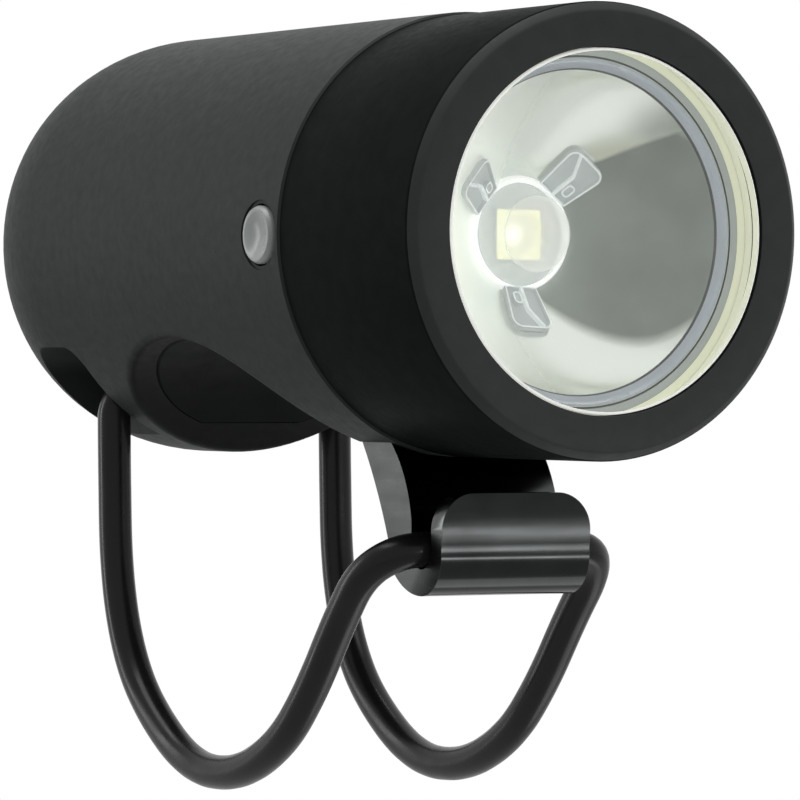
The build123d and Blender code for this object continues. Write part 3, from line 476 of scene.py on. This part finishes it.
def from_node(node_name, edge_size):
    """A merged copy of a CAD node's mesh, its sharp edges rounded off except at the seam."""
    mesh = bmesh.new()
    mesh.from_mesh(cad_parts[node_name].data)
    bmesh.ops.remove_doubles(mesh, verts=mesh.verts, dist=weld)
    bmesh.ops.dissolve_limit(mesh, angle_limit=flat_angle, verts=mesh.verts, edges=mesh.edges)
    sharp = [
        edge for edge in mesh.edges
        if edge.is_manifold and edge.calc_face_angle() > crease_angle and not at_seam(edge)
    ]
    bmesh.ops.bevel(
        mesh, geom=sharp, offset=edge_size * mm, offset_type="OFFSET", segments=3, profile=0.5,
        affect="EDGES", material=-1, clamp_overlap=True,
    )
    return mesh


# Front bezel, with a fine break on its outer corners; its face is coloured lighter than its side,
# painted light from the front
painted_lit_face_depth = 0.5
bezel_profile = half_profile(
    (12.02, 0), (14.4, 0), (15.0, 0.6), (15.0, 17.0), (14.95, 17.05), (13.3, 17.05),
    (13.3, 10.2), (12.95, 10.2), (12.95, 1.0), (12.02, 1.0),
)
bezel_corners = {0: (0.06, 2), 1: (0.12, 3), 2: (0.12, 3), 3: (0.05, 2)}
bezel_mesh = turned(bezel_profile, bezel_corners)
for face, _, depth in placed_faces(bezel_mesh):
    face.material_index = 1 if depth < painted_lit_face_depth else 0
place_piece(
    "bezel_sleeve", bezel_mesh, [bezel_side_finish, bezel_face_finish], "lamp",
    "black_anodised", "front_bezel",
)

# Stepped window, with a bevel round its boss painted white as a highlight, and side walls painted
# pale as a reflection
bevel_end = 0.25
window_profile = half_profile(
    (0, 0.1), (11.94, 0.1), (11.94, 1.4), (12.85, 1.4), (12.85, 2.8), (0, 2.8)
)
window_mesh = turned(window_profile, {1: (0.18, 1)})
for face, _, depth in placed_faces(window_mesh):
    if abs(face.normal.y) < along_share:
        face.material_index = 1 if depth < bevel_end else 2
place_piece(
    "window_pane", window_mesh, [window_finish, bevel_highlight_finish, wall_reflection_finish], "lamp",
    "clear_window", "front_window",
)

# Collimator: flange and cone in one moulding. Behind the flange come an edge painted pale as a
# reflection, a dark line of painted shadow and the mirroring cone, up to the end that faces the
# board.
edge_start, line_start, cone_start = 4.02, 4.47, 4.62
end_r = 3.67
flange_wall_start, flange_wall_r = 3.2, 12.7
optic_profile = half_profile(
    (0, 3.0), (12.75, 3.0), (12.75, 4.0), (11.3, 4.0), (11.15, 4.35), (10.75, 4.45),
    (10.65, 4.645), (8.22, 9.37), (3.66, 12.25), (0, 12.25),
)
optic_mesh = turned(optic_profile, {1: (0.15, 2), 7: (5.0, 14)})
for face, radius, depth in placed_faces(optic_mesh):
    if depth > cone_start:
        face.material_index = 1 if radius > end_r else 0
    elif depth > line_start:
        face.material_index = 3
    elif depth > edge_start:
        face.material_index = 2
    elif depth > flange_wall_start and radius > flange_wall_r:
        face.material_index = 4
place_piece(
    "collimator_cone", optic_mesh,
    [optic_finish, cone_finish, edge_finish, shadow_line_finish, wall_reflection_finish], "lamp", "clear_optic",
    "collimator",
)

# Small lens over the emitter and the tail that widens from it to a ring on the board
lens_profile = half_profile((0, 9.7), (2.52, 9.85), (2.52, 10.05), (0, 10.05))
place_piece(
    "collimator_lens", turned(lens_profile, {1: (0.08, 2)}), [lens_finish], "lamp",
    "clear_optic", "collimator",
)
tail_profile = half_profile(
    (2.35, 10.1), (2.55, 10.1), (3.45, 12.0), (3.45, 12.5), (3.25, 12.5), (3.2, 12.0)
)
ring_profile = half_profile(
    (3.46, 11.95), (3.64, 11.95), (3.78, 12.25), (3.78, 12.7), (3.46, 12.7)
)
tail_mesh = turned(tail_profile, {2: (0.5, 4)})
add_part(tail_mesh, turned(ring_profile, {1: (0.08, 2)}), 1)
place_piece(
    "collimator_tail", tail_mesh, [haze_finish, ring_finish], "lamp", "clear_optic",
    "collimator",
)

# Holder cup. Its rim has a grooved step on the inside, painted darker as shade, and a pale band
# on the outside that glows with painted light.
rim_depth, groove_depth = 4.05, 4.2
groove_in, groove_out, band_r = 11.45, 11.58, 12.15
cup_profile = half_profile(
    (12.85, rim_depth), (12.85, 5.25), (12.05, 5.25), (8.95, 10.05), (4.15, 12.6),
    (4.15, 12.75), (3.45, 12.75), (3.45, 12.6), (8.35, 9.4), (11.35, rim_depth),
    (groove_in, rim_depth), (groove_in, groove_depth), (groove_out, groove_depth),
    (groove_out, rim_depth), (band_r, rim_depth),
)
cup_mesh = turned(cup_profile, {0: (0.1, 2), 3: (4.4, 12), 8: (5.2, 14), 9: (0.08, 2)})
rim_end, groove_end, groove_play = 4.1, 4.25, 0.01
for face, radius, depth in placed_faces(cup_mesh):
    if depth < rim_end and abs(face.normal.y) > along_share:
        face.material_index = 1 if radius > band_r else 4
    elif depth < groove_end and groove_in - groove_play < radius < groove_out + groove_play:
        face.material_index = 5

# Its three clips lie along the cup's wall: a fan-shaped tray with a bent rib and a round
# peg. From a clip's foot the wall runs outward and forward.
clip_angles = (-93, 50, 142)
foot_r, foot_depth = 3.7, 12.15
wall_outward, wall_forward = 0.787, 0.617
fan = [(0, -1.2), (0, 1.2), (3.5, 1.6), (3.5, -1.6)]
fan_corners = {2: (0.8, 6), 3: (0.8, 6)}
rib = [(0.1, -0.1), (0.1, 0.1), (1.9, 0.1), (3.3, 0.9), (3.4, 0.75), (1.95, -0.1)]
peg = [(0.5, -0.85), (0.5, -0.2), (1.5, -0.2), (1.5, -0.85)]
peg_corners = {0: (0.3, 4), 1: (0.3, 4), 2: (0.3, 4), 3: (0.3, 4)}
for clip_angle in clip_angles:
    clip_mesh = raised(fan, fan_corners, height=0.4, rim=0.14, sink=0.25)
    add_part(clip_mesh, raised(rib, {}, height=0.35, low=0.12), 1)
    add_part(clip_mesh, raised(peg, peg_corners, height=0.35, rim=0.12, sink=0.1, low=0.1), 0)
    turn = math.radians(clip_angle)
    outward = Vector((math.cos(turn), 0, math.sin(turn)))
    along = outward * wall_outward - lamp_dir * wall_forward
    up = outward * -wall_forward - lamp_dir * wall_outward
    clip_turn = Matrix((along, up.cross(along), up)).transposed().to_4x4()
    clip_place = Matrix.Translation(spot(foot_r * outward.x, foot_depth, foot_r * outward.z))
    bmesh.ops.transform(clip_mesh, matrix=clip_place @ clip_turn, verts=clip_mesh.verts)
    add_part(cup_mesh, clip_mesh, 2)
place_piece(
    "holder_cup", cup_mesh,
    [cup_shaded_finish, cup_rim_finish, clip_shaded_finish, clip_rim_highlight_finish, rim_shade_finish, shadow_line_finish],
    "lamp", "pale_plastic", "optic_holder",
)

# Emitter package: ceramic base and raised phosphor square, under a clear dome
package_edge = 0.06
emitter_mesh = slab(spot(0, 12.6, 0), (3.45, 0.3, 3.45), package_edge)
add_part(emitter_mesh, slab(spot(0, 12.4, 0), (3.3, 0.2, 3.3), package_edge), 1)
place_piece(
    "emitter_package", emitter_mesh, [ceramic_finish, phosphor_finish], "lamp", "phosphor",
    "led_emitter",
)
dome_profile = half_profile((0, 10.55), (1.42, 10.55), (1.42, 11.96), (0, 11.96))
place_piece(
    "emitter_dome", turned(dome_profile, {1: (1.3, 8)}), [dome_finish], "lamp",
    "clear_silicone", "led_dome",
)

# Side button: a shallow dish with a rounded edge, turned round its own axis
button_depth, button_height = 19.8, -0.1
button_profile = [
    spot(across, button_depth + radius, button_height)
    for across, radius in (
        (-14.95, 0), (-15.0, 0.7), (-15.38, 1.6), (-15.38, 1.78), (-15.1, 1.95), (-13.16, 1.95),
        (-13.16, 2.5), (-12.66, 2.5), (-12.66, 0.7), (-12.0, 0.7), (-12.0, 0),
    )
]
button_corners = {1: (0.5, 4), 2: (0.1, 2), 3: (0.1, 2)}
button_centre = spot(0, button_depth, button_height)
place_piece(
    "button_cap", turned(button_profile, button_corners, button_centre, side_dir),
    [button_finish], "button", "button_silicone", "mode_button",
)

# Housing, hook, saddle pad, port flap and its tether, with their edges broken
for node_name, piece_name, edge_size, finishes, body, slot in (
    ("rear_housing", "housing_shell", 0.2, [housing_finish], "lamp", "housing_plastic"),
    ("strap_hook", "hook_plate", 0.32, [hook_finish, hook_edge_and_sheen_finish], "lamp", "steel_hook"),
    ("bar_pad", "saddle_pad", 0.1, [pad_finish], "lamp", "black_silicone"),
    ("port_cover", "port_flap", 0.1, [pad_finish], "flap", "black_silicone"),
    ("cover_tether", "flap_tether", 0.12, [pad_finish], "lamp", "black_silicone"),
):
    mesh = from_node(node_name, edge_size)
    if node_name == "strap_hook":
        for face in mesh.faces:
            face.material_index = 1 if abs(face.normal.x) > side_share else 0
    piece = place_piece(piece_name, mesh, finishes, body, slot, node_name)
    shading = piece.modifiers.new("shading", "WEIGHTED_NORMAL")
    shading.keep_sharp = True

# The strap: one round silicone cord from its tunnel, under the bar and over the hook.
# Its points are measured from the handlebar's axis.
strap_d = 2.4 * mm
near_route = [
    (0, 16.57, 14.08),
    (-9.2, 16.57, 14.08),
    (-9.2, 16.37, 6.88),
    (-9.2, 16.07, -0.22),
    (-9.2, 14.37, -5.82),
    (-9.2, 11.07, -10.02),
    (-9.2, 4.37, -14.02),
    (-9.2, -2.63, -14.12),
    (-9.2, -8.93, -11.52),
    (-9.2, -13.13, -7.52),
    (-9.2, -16.83, -2.72),
    (-9.2, -19.83, 0.58),
    (-7.4, -21.88, 2.18),
    (-4.3, -21.88, 2.18),
]
far_route = [(-across, along, height) for across, along, height in reversed(near_route)]
strap_route = near_route + far_route
strap_curve = bpy.data.curves.new("strap_ring", "CURVE")
strap_curve.dimensions = "3D"
strap_line = strap_curve.splines.new("NURBS")
strap_line.points.add(len(strap_route) - 1)
for point, place in zip(strap_line.points, strap_route):
    point.co = (*(Vector(place) * mm), 1)
strap_line.order_u = 3
strap_line.use_endpoint_u = True
strap_line.resolution_u = 24
strap_curve.bevel_depth = strap_d / 2
strap_curve.bevel_resolution = 10
strap_curve.use_fill_caps = True
strap_curve.materials.append(strap_finish)
strap_ring = bpy.data.objects.new("strap_ring", strap_curve)
bpy.context.scene.collection.objects.link(strap_ring)
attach(strap_ring, "strap_loop")
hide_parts("strap")
Vector(strap_route[0]) * mm


# Studio, in metres and watts


def lamp(name, place, aim, width, height, watts):
    """A soft rectangular studio light that the camera doesn't see."""
    data = bpy.data.lights.new(name, "AREA")
    data.shape = "RECTANGLE"
    data.size = width
    data.size_y = height
    data.energy = watts
    made = bpy.data.objects.new(name, data)
    bpy.context.scene.collection.objects.link(made)
    made.location = place
    made.visible_camera = False
    made.rotation_euler = (Vector(aim) - Vector(place)).to_track_quat("-Z", "Y").to_euler()


middle = (0, 0, 15 * mm)
lamp("top_light", (-0.1, 0.05, 0.6), middle, 0.5, 0.5, 4.0)
lamp("left_light", (-0.45, 0.45, 0.1), middle, 0.12, 0.5, 1.3)
lamp("front_light", (0.3, -0.45, 0.5), middle, 0.35, 0.35, 1.15)
# Two small lights for the hook: one on its lip from the front and one from below
lamp("lip_light", (0.05, -0.11, -0.008), (0, -0.0246, 0.003), 0.06, 0.006, 0.02)
lamp("low_light", (0.055, -0.03, -0.085), (0, -0.024, 0.0), 0.05, 0.05, 0.02)

floor_r = 0.45
floor_height = -0.1
floor_mesh = bmesh.new()
bmesh.ops.create_circle(floor_mesh, cap_ends=True, segments=96, radius=floor_r)
bmesh.ops.translate(floor_mesh, verts=floor_mesh.verts, vec=(0, 0, floor_height))
floor_data = bpy.data.meshes.new("floor")
floor_mesh.to_mesh(floor_data)
floor_mesh.free()
floor = bpy.data.objects.new("floor", floor_data)
bpy.context.scene.collection.objects.link(floor)
floor.data.materials.append(surface("floor_paint", grey(0.6), 0.9, 100, 0.02, spread=0.02))

# White surroundings, which give less diffuse light than they show
diffuse_share = 0.5
world = bpy.data.worlds.new("studio")
bpy.context.scene.world = world
world.use_nodes = True
world_nodes = world.node_tree.nodes
world_links = world.node_tree.links
background = world_nodes["Background"]
background.inputs["Color"].default_value = grey(1.0)
rays = world_nodes.new("ShaderNodeLightPath")
shown = rays.outputs["Is Camera Ray"]
for ray in ("Is Glossy Ray", "Is Transmission Ray"):
    either = world_nodes.new("ShaderNodeMath")
    either.operation = "MAXIMUM"
    world_links.new(shown, either.inputs[0])
    world_links.new(rays.outputs[ray], either.inputs[1])
    shown = either.outputs[0]
strength = world_nodes.new("ShaderNodeMapRange")
strength.inputs["To Min"].default_value = diffuse_share
strength.inputs["To Max"].default_value = 1.0
world_links.new(shown, strength.inputs["Value"])
world_links.new(strength.outputs["Result"], background.inputs["Strength"])

bpy.context.scene.view_settings.view_transform = "Standard"
